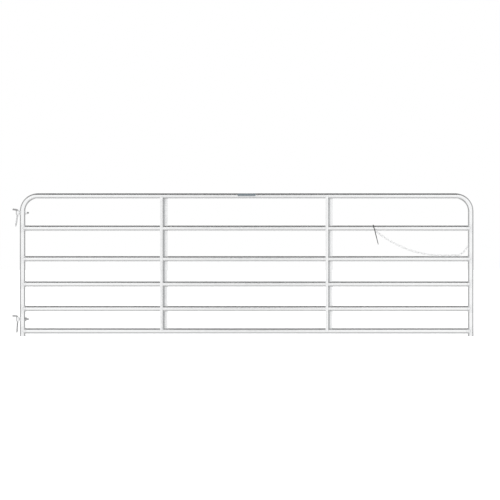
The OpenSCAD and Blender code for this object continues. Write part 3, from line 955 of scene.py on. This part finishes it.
def thread_on(wire, thread_z, point_z, pitch, place):
    """Leads a wire down to a thread and its point.

    Gives the wire in its place, and its length before the thread.
    """
    x, y, _ = wire[-1]
    wire = wire + straight(wire[-1], Vector((x, y, thread_z + RUNOUT)), ROD_STEP)
    before = sum((b - a).length for a, b in zip(wire, wire[1:])) + RUNOUT
    wire += straight(wire[-1], Vector((x, y, point_z)), pitch / LAG_TURN_STEPS)
    return [place @ p for p in wire], before


def lag_hook_wire(hinge, pin_z, lean, z):
    """Wire of a lag hook from its pin's end to its point, and the length before its thread."""
    bend, pin_x = hinge.hook_bend_r, -hinge.pin_len
    point_z = pin_z - hinge.hook_r - hinge.lag_len
    thread_z = point_z + hinge.lag_point + hinge.lag_thread_len
    wire = [Vector((pin_x, 0, pin_z)), Vector((pin_x + hinge.pin_bevel, 0, pin_z))]
    wire += straight(wire[-1], Vector((-bend, 0, pin_z)), PIN_STEP)
    centre = Vector((-bend, 0, pin_z - bend))
    wire += arc(centre, UP * bend, ALONG * bend, 0, QUARTER, BEND_STEPS)[1:]
    place = Matrix.Translation((0, 0, z)) @ Matrix.Rotation(lean, 4, "Y")
    return thread_on(wire, thread_z, point_z, hinge.lag_pitch, place)


def latch_hook_wire(chain):
    """Wire of the latch hook from its back leg to its point, and the length before its thread."""
    bow, drop = chain.bow_r, chain.bow_drop
    back_z = -drop - chain.back_len
    wire = [Vector((0, bow, back_z)), Vector((0, bow, back_z + chain.rod_bevel))]
    wire += arc(Vector((0, 0, -drop)), BACK * bow, UP * bow, 0, math.pi, BOW_STEPS)
    place = Matrix.Translation((chain.hook_x, 0, RAIL_Z[1]))
    place = place @ Matrix.Rotation(-chain.hook_lean, 4, "Y")
    thread_z = chain.point_len + chain.thread_len - chain.front_len
    return thread_on(wire, thread_z, -chain.front_len, chain.thread_pitch, place)


def staple_legs(chain, line):
    """Wire of the staple, the points where its legs enter the end tube, and its way ahead."""
    axis_r = chain.staple_w / 2 + chain.wire_r
    gap = chain.link_len - line.length / chain.links
    bow_x = axis_r - chain.wire_r - gap / 2
    place = line.at(line.length, chain.first_twist + chain.links * chain.link_twist)
    ahead = place.to_3x3() @ ALONG
    entries = []
    for side in (axis_r, -axis_r):
        foot = place @ Vector((bow_x, side, 0))

        def outside(run):
            spot = foot + ahead * run
            return math.hypot(spot.x - END_TUBES[1], spot.y) > TUBE_R

        entries.append(foot + ahead * bisect(0.0, 2 * TUBE_R, outside))
    bow = arc(ALONG * bow_x, BACK * axis_r, ALONG * -axis_r, 0, math.pi, STAPLE_STEPS)
    first, last = (entry + ahead * chain.staple_in for entry in entries)
    return [first] + [place @ p for p in bow] + [last], entries, ahead


def rail_weld(tube_x, inward, z):
    """Closed wire round a rail where it meets an end tube."""
    wire = []
    for angle in angles(RAIL_WELD_STEPS):
        out = math.cos(angle)
        bulge = TUBE_R * math.sqrt(out * out + SADDLE_ROUND)
        wire.append((tube_x + inward * bulge, TUBE_R * math.sin(angle), z + TUBE_R * out))
    return wire


def foot_weld(spot, ahead, radius):
    """Closed wire on the latch end tube, round a leg that enters it aslant."""
    side = ahead.cross(UP).normalized()
    other = ahead.cross(side).normalized()
    flat, square = ahead.xy, ahead.xy.length_squared
    wire = []
    for p in arc(spot, side * radius, other * radius, 0, TURN, FOOT_WELD_STEPS)[:-1]:
        off = p.xy - Vector((END_TUBES[1], 0))
        half = off.dot(flat) / square
        rest = (off.length_squared - TUBE_R**2) / square
        wire.append(p - ahead * (half + math.sqrt(half * half - rest)))
    return wire


def barrel_weld(node, off):
    """Closed wire where a hinge bolt meets its barrel."""
    spot, barrel_r = middle(node + "barrel"), reach(node + "barrel").x / 2
    bolt_r = reach(node + "bolt").z / 2
    wire = []
    for angle in angles(BARREL_WELD_STEPS):
        y, z = bolt_r * math.cos(angle), bolt_r * math.sin(angle)
        wire.append((spot.x + math.sqrt(barrel_r**2 - y * y) + off, y, spot.z + z))
    return wire


def tacks(leaf, off):
    """Short arcs round each rail, above and below it, on the latch side of each brace's web."""
    wires = []
    radius = TUBE_R + off
    for name in BRACES:
        x, face = middle(name).x + leaf.sheet_t / 2, reach(name).y / 2 - leaf.sheet_t / 2
        slope = Vector((leaf.web_slant / 2 / face * radius, radius, 0))
        for z in RAIL_Z:
            # The webs end at the top and bottom rails
            over, under = z != RAIL_Z[0], z != RAIL_Z[-1]
            for side in [0] * over + [math.pi] * under:
                start, end = side - TACK_HALF, side + TACK_HALF
                wires.append(arc(Vector((x, 0, z)), UP * radius, slope, start, end, TACK_STEPS))
    return wires


# Operators


class GATE_OT_tubes(bpy.types.Operator):
    """Gives the frame tube and the rails their zinc coats"""

    bl_idname = "gate.tubes"
    bl_label = "Tubes"

    def execute(self, context):
        settings = context.scene.gate
        for name in RAILS:
            self.coat(name, finish("rail", settings))
        self.coat("frame_tube", finish("frame", settings))
        return {"FINISHED"}

    @staticmethod
    def coat(name, material):
        """Gives a node of the frame its material."""
        node = frame["nodes"][name]
        for slot in node.material_slots:
            slot.material = material
        if not node.material_slots:
            raise RuntimeError(f"{name} has no material slot")


class GATE_OT_braces(bpy.types.Operator):
    """Folds the two Z-section braces from sheet, with the rails' holes in their webs"""

    bl_idname = "gate.braces"
    bl_label = "Braces"

    # Steps of a fold and of half a hole, and the rows down a bay
    fold_steps, hole_steps = 6, 14
    rows = (0, 0.04, 0.3, 0.7, 0.96, 1)

    def execute(self, context):
        settings = context.scene.gate
        for name in BRACES:
            piece = self.fold(name, settings.leaf, finish("sheet", settings))
            dress(piece, "leaf", "galvanised_sheet", name)
        return {"FINISHED"}

    def fold(self, name, leaf, material):
        """One brace at mid sheet: columns across its folded profile, rows down each bay."""
        low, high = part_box(name)
        face, hole = high.y - leaf.sheet_t / 2, TUBE_R + leaf.hole_gap
        middle_x, slant = (low.x + high.x) / 2, math.atan2(leaf.web_slant, 2 * face)
        tip, back, fold = (high.x - low.x) / 2, leaf.web_slant / 2, leaf.fold_r
        # The fold's arc starts on the front flange and ends on the slanted web
        setback = fold * math.tan((QUARTER - slant) / 2)
        corner = Vector((-back - setback, fold - face, 0))
        folded = arc(corner, ALONG * fold, BACK * fold, -QUARTER, -slant, self.fold_steps)
        columns = [(-tip, -face), (-(tip + back + setback) / 2, -face)]
        columns += [tuple(p.xy) for p in folded]
        for step in range(self.hole_steps + 1):
            across = hole * math.sin(QUARTER * (step / self.hole_steps - 1))
            columns.append((back * across / face, across))
        columns += [(-x, -y) for x, y in reversed(columns[:-1])]
        points, faces = [], []
        for top, bottom in zip(RAIL_Z, RAIL_Z[1:]):
            faces += grid_faces(len(points), len(columns), len(self.rows))
            for x, y in columns:
                notch = math.sqrt(max(0.0, hole * hole - y * y))
                upper, lower = top - notch, bottom + notch
                points += [(middle_x + x, y, upper + (lower - upper) * f) for f in self.rows]
        return add_piece(name + "_sheet", points, faces, material, leaf.sheet_t, weld=MERGE)


class GATE_OT_hinges(bpy.types.Operator):
    """Makes the hinge barrels, bolts, washers and nuts"""

    bl_idname = "gate.hinges"
    bl_label = "Hinges"

    # Finishes of each hinge's barrel, bolt, washer and nut. The upper washer and nut take the paler
    # link zinc as a painted highlight, and the upper bolt's end past its nut is painted shade
    coats = {
        "upper": ("hinge", "upper_bolt", "link", "link"),
        "lower": ("hinge", "lower_hook", "lower_hook", "lower_hook"),
    }

    def execute(self, context):
        settings = context.scene.gate
        makers = self.barrel, self.bolt, self.washer, self.nut
        for end in HINGES:
            for make, coat in zip(makers, self.coats[end]):
                node = f"{end}_hinge_{make.__name__}"
                piece = make(node, settings.hinge, finish(coat, settings))
                dress(piece, "leaf", "zinc_hardware", node)
        return {"FINISHED"}

    @staticmethod
    def barrel(node, hinge, material):
        """A length of pipe with rounded rims."""
        box, place = reach(node), Matrix.Translation(middle(node))
        profile = rounded_ring(hinge.bore_r, box.x / 2, -box.z / 2, box.z / 2, hinge.rim)
        return ring_piece(node + "_pipe", lambda angle: profile, RING_SIDES, place, material)

    @staticmethod
    def washer(node, hinge, material):
        """A flat ring with rounded edges."""
        low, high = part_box(node)
        outer, place = (high.y - low.y) / 2, along_x(low.x, middle(node).z)
        profile = rounded_ring(hinge.washer_bore_r, outer, 0, high.x - low.x, hinge.washer_edge)
        return ring_piece(node + "_disc", lambda angle: profile, RING_SIDES, place, material)

    @staticmethod
    def nut(node, hinge, material):
        """A hexagon with a bevelled bore and bevelled corners."""
        low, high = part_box(node)
        flats, tall = (high.y - low.y) / 2, high.x - low.x
        bore, bevel = hinge.nut_bore_r, hinge.nut_bevel
        face, fall = flats * hinge.nut_face, math.tan(hinge.nut_fall)
        sixth = TURN / 6

        def profile(angle):
            corner = flats / math.cos(angle % sixth - sixth / 2)
            drop = (corner - face) * fall
            return [
                (bore, bevel), (bore + bevel, 0), (face, 0), (corner, drop),
                (corner, tall - drop), (face, tall), (bore + bevel, tall), (bore, tall - bevel),
            ]

        place = along_x(low.x, middle(node).z)
        return ring_piece(node + "_hex", profile, NUT_SIDES, place, material)

    @staticmethod
    def bolt(node, hinge, material):
        """A bolt from the barrel's wall, with its thread at the other end."""
        low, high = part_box(node)
        z, radius = middle(node).z, (high.z - low.z) / 2
        plain = high.x - hinge.bolt_thread_len
        wire = [Vector((low.x, 0, z)), Vector((plain - RUNOUT, 0, z))]
        wire += straight(wire[-1], Vector((high.x, 0, z)), hinge.bolt_pitch / BOLT_TURN_STEPS)
        thread = plain - low.x, radius - hinge.bolt_crest, hinge.bolt_pitch, hinge.bolt_depth
        return grow_rod(
            node + "_rod", wire, material, ROD_SIDES, radius,
            thread=thread, point=hinge.bolt_end, tip=hinge.bolt_tip,
        )


class GATE_OT_lag_hooks(bpy.types.Operator):
    """Bends the two lag hooks that hang in the hinge barrels, with rolled threads"""

    bl_idname = "gate.lag_hooks"
    bl_label = "Lag hooks"

    def execute(self, context):
        settings = context.scene.gate
        hinge = settings.hinge
        for end in HINGES:
            pin_z, lean = getattr(hinge, end + "_pin_z"), getattr(hinge, end + "_lean")
            wire, before = lag_hook_wire(hinge, pin_z, lean, middle(f"{end}_hinge_barrel").z)
            coat = finish(f"{end}_hook", settings)
            thread = before, hinge.lag_r, hinge.lag_pitch, hinge.lag_depth
            piece = grow_rod(
                f"{end}_lag_hook_rod", wire, coat, ROD_SIDES, hinge.hook_r,
                bevel=hinge.pin_bevel, thread=thread, point=hinge.lag_point, tip=hinge.lag_tip,
            )
            dress(piece, f"{end}_hook", "zinc_hardware", f"{end}_lag_hook")
        return {"FINISHED"}


class GATE_OT_latch_hook(bpy.types.Operator):
    """Bends the latch hook over the second rail, with its thread and its eye ring"""

    bl_idname = "gate.latch_hook"
    bl_label = "Latch hook"

    def execute(self, context):
        settings = context.scene.gate
        chain = settings.chain
        line = ChainLine(chain)
        wire, before = latch_hook_wire(chain)
        rod = grow_rod(
            "latch_hook_rod", wire, finish("steel", settings), WIRE_SIDES, chain.rod_r,
            bevel=chain.rod_bevel,
            thread=(before, chain.thread_r, chain.thread_pitch, chain.thread_depth),
            point=chain.point_len, tip=chain.point_tip,
        )
        dress(rod, "latch_chain", "plain_steel", "latch_hook")
        wire_r = chain.eye_wire_r
        axis_r = chain.eye_r + wire_r
        profile = [
            (axis_r + wire_r * math.cos(a), wire_r * math.sin(a)) for a in angles(EYE_WIRE_SIDES)
        ]
        place = (
            Matrix.Translation(line.eye_middle)
            @ Matrix.Rotation(chain.eye_slope, 4, "Y")
            @ Matrix.Rotation(chain.first_twist - chain.link_twist, 4, "X")
        )
        zinc = finish("link", settings)
        ring = ring_piece("latch_eye_ring", lambda angle: profile, EYE_SIDES, place, zinc)
        dress(ring, "latch_chain", "plain_steel")
        return {"FINISHED"}


class GATE_OT_chain(bpy.types.Operator):
    """Hangs the welded links from the latch hook's eye to the staple"""

    bl_idname = "gate.chain"
    bl_label = "Chain"

    # Points of the chain's curve for each link
    fine = 16

    def execute(self, context):
        settings = context.scene.gate
        chain = settings.chain
        line = ChainLine(chain)
        count = chain.links * self.fine
        wire = [line.at(line.length * i / count).translation for i in range(count + 1)]
        values = {
            "Wire Radius": chain.wire_r, "Inside Length": chain.link_len,
            "Inside Width": chain.link_w, "First Twist": chain.first_twist,
            "Link Twist": chain.link_twist, "Weld Swell": chain.weld_swell,
            "Step": line.length / chain.links, "Links": chain.links,
            "Sides": LINK_SIDES, "Material": finish("link", settings),
        }
        links = grow("latch_chain_links", [wire], chain_tree, values)
        dress(links, "latch_chain", "zinc_chain", "chain_links")
        return {"FINISHED"}


class GATE_OT_staple(bpy.types.Operator):
    """Bends the chain staple on the latch end tube"""

    bl_idname = "gate.staple"
    bl_label = "Staple"

    def execute(self, context):
        settings = context.scene.gate
        chain = settings.chain
        wire, _, _ = staple_legs(chain, ChainLine(chain))
        zinc = finish("link", settings)
        piece = grow_rod("chain_staple_bow", wire, zinc, WIRE_SIDES, chain.wire_r)
        dress(piece, "leaf", "zinc_chain", "chain_staple")
        return {"FINISHED"}


class GATE_OT_welds(bpy.types.Operator):
    """Lays the weld beads at the rail ends, the braces, the hinges, the staple and the eye"""

    bl_idname = "gate.welds"
    bl_label = "Welds"

    def execute(self, context):
        settings = context.scene.gate
        weld, chain = settings.weld, settings.chain
        line = ChainLine(chain)
        _, entries, ahead = staple_legs(chain, line)
        inward = list(zip(END_TUBES, (1, -1)))
        rail_ends = [rail_weld(x, way, z) for z in RAIL_Z[1:] for x, way in inward]
        barrels = [barrel_weld(f"{end}_hinge_", weld.barrel_off) for end in HINGES]
        feet = [foot_weld(spot, ahead, chain.wire_r + weld.foot_off) for spot in entries]
        start = line.eye_weld + line.eye_dir * (chain.rod_r + weld.eye_off)
        eye = [
            [start + BACK * across + UP * up for across in (-weld.eye_half, 0, weld.eye_half)]
            for up in (-weld.eye_apart, weld.eye_apart)
        ]
        braces = tacks(settings.leaf, weld.tack_off)
        small = weld.small_bead
        rows = (
            ("rail_end_welds", rail_ends, True, weld.rail_bead, "leaf", "galvanised_tube"),
            ("brace_tack_welds", braces, False, weld.tack_bead, "leaf", "galvanised_tube"),
            ("hinge_welds", barrels, True, small, "leaf", "zinc_hardware"),
            ("staple_welds", feet, True, small, "leaf", "zinc_chain"),
            ("eye_welds", eye, False, small, "latch_chain", "plain_steel"),
        )
        for name, wires, closed, width, body, slot in rows:
            values = {
                "Bead": width, "Ripple": weld.ripple, "Ripple Depth": weld.ripple_depth,
                "Unevenness": weld.uneven, "Seed": float(weld.seed), "Sides": BEAD_SIDES,
                "Material": finish("steel" if slot == "plain_steel" else "weld", settings),
            }
            dress(grow(name, wires, bead_tree, values, closed), body, slot)
        return {"FINISHED"}


class GATE_OT_label(bpy.types.Operator):
    """Wraps the blank label film round the front of the top rail"""

    bl_idname = "gate.label"
    bl_label = "Label"

    # Columns of a rounded end and of the straight part, and rows across
    end_steps, steps, rows = 8, 8, 16

    def execute(self, context):
        settings = context.scene.gate
        leaf = settings.leaf
        low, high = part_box("blank_label")
        radius = TUBE_R + leaf.film_gap + leaf.film_t / 2
        half_x, half_s = (high.x - low.x) / 2, radius * leaf.film_arc / 2
        middle_x, corner = (low.x + high.x) / 2, leaf.film_corner
        turns = [QUARTER * i / self.end_steps for i in range(self.end_steps + 1)]
        ends = [half_x - corner * (1 - math.cos(angle)) for angle in turns]
        inner = half_x - corner
        columns = [-x for x in ends]
        columns += [inner * (2 * i / self.steps - 1) for i in range(1, self.steps)]
        columns += reversed(ends)
        points = []
        for x in columns:
            inset = max(0.0, abs(x) - inner)
            cut = corner - math.sqrt(max(0.0, corner**2 - inset**2))
            for r in range(self.rows + 1):
                angle = leaf.film_tilt + (half_s - cut) * (2 * r / self.rows - 1) / radius
                y, z = -radius * math.cos(angle), TOP_Z + radius * math.sin(angle)
                points.append((middle_x + x, y, z))
        faces = grid_faces(0, len(columns), self.rows + 1)
        film = finish("film", settings)
        piece = add_piece("blank_label_film", points, faces, film, leaf.film_t)
        dress(piece, "leaf", "label_film", "blank_label")
        return {"FINISHED"}


# Studio greys round the length of the gate: behind 0 and 1, below 0.25, in front 0.5, overhead 0.75
WALLS = (
    (0.0, 0.95), (0.208, 0.95), (0.244, 0.58), (0.375, 0.58), (0.411, 1.0), (0.645, 1.0),
    (0.660, 0.0), (0.892, 0.0), (0.922, 0.9), (1.0, 0.95),
)
# A stripe straight ahead, dimmer towards the ceiling, greys the middle of each rail
STRIPE = (
    (0.0, 1.0), (0.33, 1.0), (0.39, 0.84), (0.5, 0.66), (0.59, 0.42), (0.66, 0.42),
    (0.7, 1.0), (1.0, 1.0),
)
# Studio greys round the height of the gate: in front 0 and behind 1
SIDES = ((0.0, 1.0), (0.33, 1.0), (0.39, 0.4), (0.84, 0.4), (0.93, 0.95), (1.0, 0.95))
# By how far a direction points aside: the stripe's end, the ceiling's paler grey and the white ends
STRIPE_END = 0.052
PALE_START, PALE_FULL, PALE_GREY = 0.14, 0.36, 0.55
ENDS_START, ENDS_FULL = 0.45, 0.85
# By how far a reflection points behind the gate: where it turns white
BEHIND_START, BEHIND_FULL = 0.86, 0.96
WHITE = (1, 1, 1, 1)
FLOOR_ROUGH = 0.9


class GATE_OT_stage(bpy.types.Operator):
    """Makes the floor, the light and the camera"""

    bl_idname = "gate.stage"
    bl_label = "Stage"

    def execute(self, context):
        stage = context.scene.gate.stage
        context.scene.view_settings.view_transform = "Standard"
        self.floor(stage)
        self.world(context.scene)
        self.lamp(context.scene, stage)
        self.camera(context.scene, stage)
        return {"FINISHED"}

    @staticmethod
    def floor(stage):
        """A pale floor that keeps the gate's shadow and reads white in the picture."""
        half, x = stage.floor_size, stage.view_x
        corners = ((-half, -half), (half, -half), (half, half), (-half, half))
        points = [(x + right, back, FLOOR_Z) for right, back in corners]
        material = bpy.data.materials.new("pale_floor")
        material.use_nodes = True
        tree = material.node_tree
        inputs = tree.nodes["Principled BSDF"].inputs
        inputs["Base Color"].default_value = (*stage.floor, 1)
        inputs["Roughness"].default_value = FLOOR_ROUGH
        inputs["Specular IOR Level"].default_value = 0.0
        inputs["Emission Color"].default_value = WHITE
        ray = add_node(tree, "ShaderNodeLightPath").outputs
        seen = calc(tree, "MULTIPLY", ray["Is Camera Ray"], stage.floor_glow)
        tree.links.new(seen, inputs["Emission Strength"])
        floor = add_piece("floor", points, [(0, 1, 2, 3)], material)
        floor.visible_glossy = False
        floor.visible_transmission = False

    @staticmethod
    def band(tree, value, stops):
        """A grey that follows a value from 0 to 1 through its stops."""
        greys = add_node(tree, "ShaderNodeValToRGB", {0: value})
        elements = greys.color_ramp.elements
        while len(elements) < len(stops):
            elements.new(0.5)
        for element, (where, grey) in zip(elements, stops):
            element.position, element.color = where, (grey, grey, grey, 1)
        return greys.outputs[0]

    def world(self, scene):
        """White to the camera. For light and reflections, a pale studio with a dark ceiling."""
        world = bpy.data.worlds.new("studio")
        world.use_nodes = True
        tree = world.node_tree
        tree.nodes.clear()
        place = add_node(tree, "ShaderNodeTexCoord").outputs["Generated"]
        x, y, z = add_node(tree, "ShaderNodeSeparateXYZ", {0: place}).outputs
        ahead, aside = calc(tree, "MULTIPLY", y, -1.0), calc(tree, "ABSOLUTE", x)
        lengthwise = calc(tree, "ARCTAN2", z, ahead)
        lengthwise = calc(tree, "MULTIPLY_ADD", lengthwise, 1 / TURN, 0.5)
        upright = calc(tree, "MULTIPLY", calc(tree, "ARCTAN2", aside, ahead), 2 / TURN)
        walls = self.band(tree, lengthwise, WALLS)
        stripe = calc(tree, "SUBTRACT", self.band(tree, lengthwise, STRIPE), 1.0)
        dim = calc(tree, "MULTIPLY", stripe, ramp(tree, aside, STRIPE_END, 0.0))
        walls = calc(tree, "MULTIPLY_ADD", walls, dim, walls)
        pale = ramp(tree, aside, PALE_START, PALE_FULL, 0.0, PALE_GREY)
        walls = calc(tree, "MAXIMUM", walls, pale)
        end_on = ramp(tree, aside, ENDS_START, ENDS_FULL)
        walls = calc(tree, "MULTIPLY_ADD", calc(tree, "SUBTRACT", 1.0, walls), end_on, walls)
        lit = calc(tree, "MULTIPLY", walls, self.band(tree, upright, SIDES))
        ray = add_node(tree, "ShaderNodeLightPath").outputs
        white = calc(tree, "MAXIMUM", ray["Is Camera Ray"], ray["Is Transmission Ray"])
        behind = ramp(tree, y, BEHIND_START, BEHIND_FULL)
        behind = calc(tree, "MULTIPLY", ray["Is Glossy Ray"], behind)
        strength = calc(tree, "MAXIMUM", calc(tree, "MAXIMUM", white, behind), lit)
        back = result(tree, "ShaderNodeBackground", {"Color": WHITE, "Strength": strength})
        add_node(tree, "ShaderNodeOutputWorld", {0: back})
        scene.world = world

    @staticmethod
    def lamp(scene, stage):
        """A broad soft light from the front, high up."""
        light = bpy.data.lights.new("key", "SUN")
        light.energy, light.angle = stage.key, stage.key_size
        lamp = bpy.data.objects.new("key", light)
        lamp.rotation_euler = (stage.key_tilt, 0, stage.key_turn)
        lamp.visible_glossy = False
        scene.collection.objects.link(lamp)

    @staticmethod
    def camera(scene, stage):
        """Square to the front of the gate, from far off."""
        data = bpy.data.cameras.new("front")
        data.lens = data.sensor_width * stage.view_distance / stage.view_width
        data.clip_end = stage.view_end
        camera = bpy.data.objects.new("front", data)
        camera.location = (stage.view_x, -stage.view_distance, stage.view_z)
        camera.rotation_euler = (QUARTER, 0, 0)
        scene.collection.objects.link(camera)
        scene.camera = camera


OPERATORS = (
    GATE_OT_tubes,
    GATE_OT_braces,
    GATE_OT_hinges,
    GATE_OT_lag_hooks,
    GATE_OT_latch_hook,
    GATE_OT_chain,
    GATE_OT_staple,
    GATE_OT_welds,
    GATE_OT_label,
    GATE_OT_stage,
)


class GATE_PT_parts(bpy.types.Panel):
    """Lists the gate's parts in the sidebar"""

    bl_idname = "GATE_PT_parts"
    bl_label = "Field gate"
    bl_space_type = "VIEW_3D"
    bl_region_type = "UI"
    bl_category = "Gate"

    def draw(self, context):
        for operator in OPERATORS:
            self.layout.operator(operator.bl_idname)


CLASSES = (
    GateLeafSettings,
    GateHingeSettings,
    GateChainSettings,
    GateWeldSettings,
    GateFinishSettings,
    GateStageSettings,
    GateSettings,
    *OPERATORS,
    GATE_PT_parts,
)


def register():
    for item in CLASSES:
        bpy.utils.register_class(item)
    bpy.types.Scene.gate = bpy.props.PointerProperty(type=GateSettings)


def unregister():
    del bpy.types.Scene.gate
    for item in reversed(CLASSES):
        bpy.utils.unregister_class(item)


def main():
    """Makes every part in order."""
    register()
    for operator in OPERATORS:
        group, name = operator.bl_idname.split(".")
        getattr(getattr(bpy.ops, group), name)()


if __name__ == "__main__":
    main()
